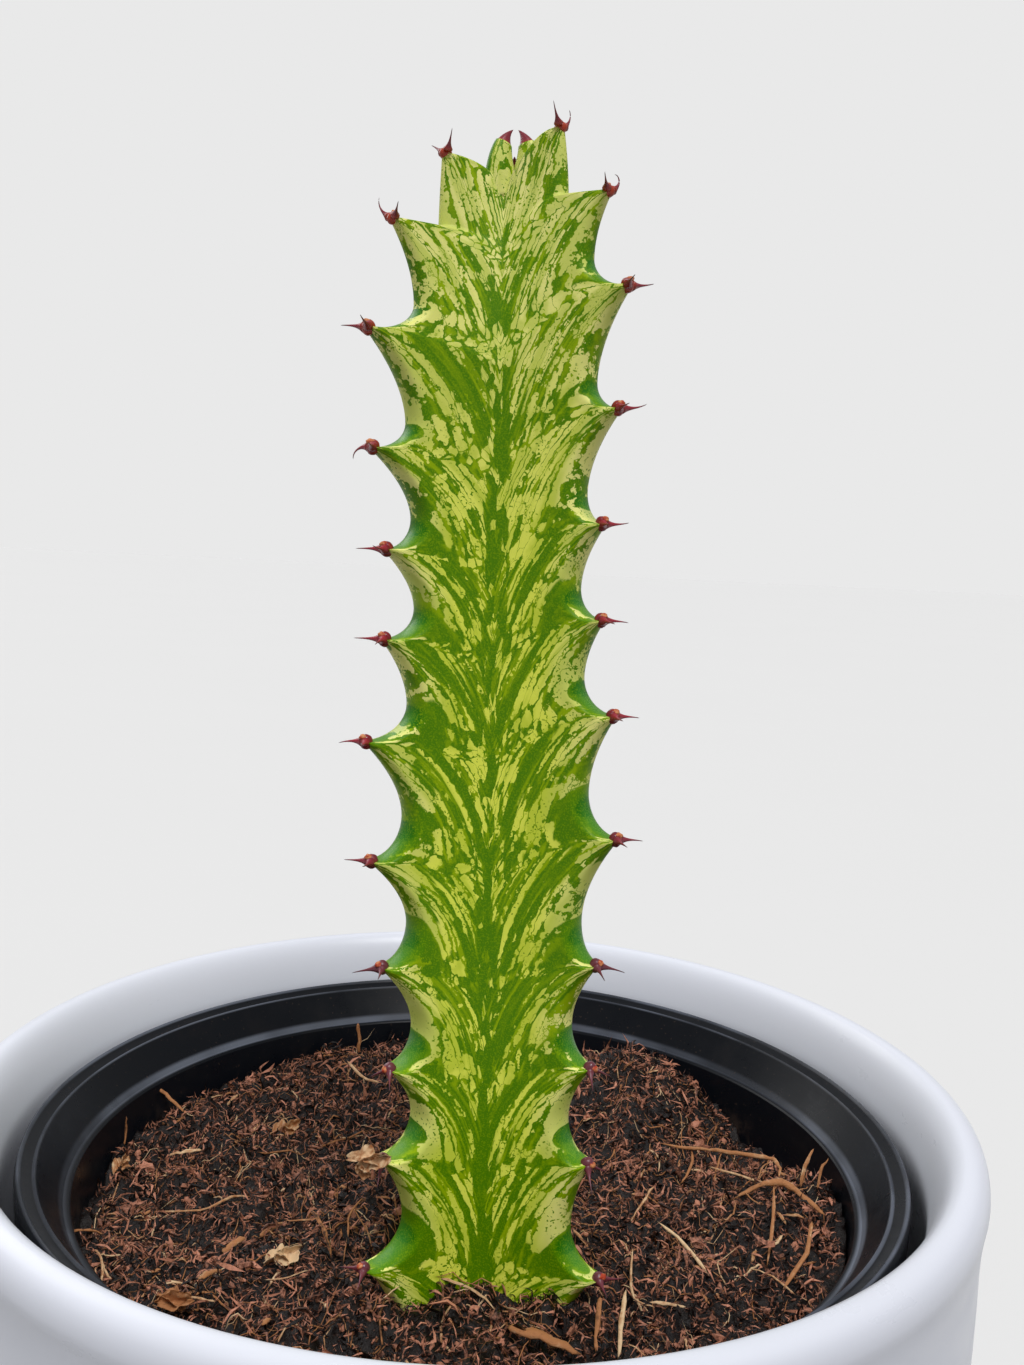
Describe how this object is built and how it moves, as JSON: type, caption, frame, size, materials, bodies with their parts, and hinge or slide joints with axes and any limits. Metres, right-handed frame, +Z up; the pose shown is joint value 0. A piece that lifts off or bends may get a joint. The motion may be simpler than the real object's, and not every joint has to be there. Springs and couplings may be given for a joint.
{
  "type": "potted mint cream african milk tree",
  "caption": "Upright three-ribbed cream and green variegated succulent with toothed, spined ribs, in coir soil in a black nursery pot inside a thick-rimmed white pot.",
  "frame": {"origin": "on the ground, on the axis of the two pots, at the middle of the white pot's flat base", "axes": "+Z up along the pots' axis and the plant, -Y towards the picture's camera and the clean face between two ribs, +X to the right"},
  "size_m": [0.1772, 0.1772, 0.2996],
  "materials": {
    "white_pot": "satin white glaze",
    "black_plastic": "moulded black polypropylene, half gloss",
    "coir_soil": "crumbly damp coir with fibres and chips, dull",
    "variegated_stem": "smooth waxy skin, green with cream-yellow streaks, maroon shields and spines"
  },
  "bodies": {
    "root": {"outer_pot": "white_pot", "nursery_pot": "black_plastic", "soil": "coir_soil", "stem": "variegated_stem"}
  },
  "joints": []
}
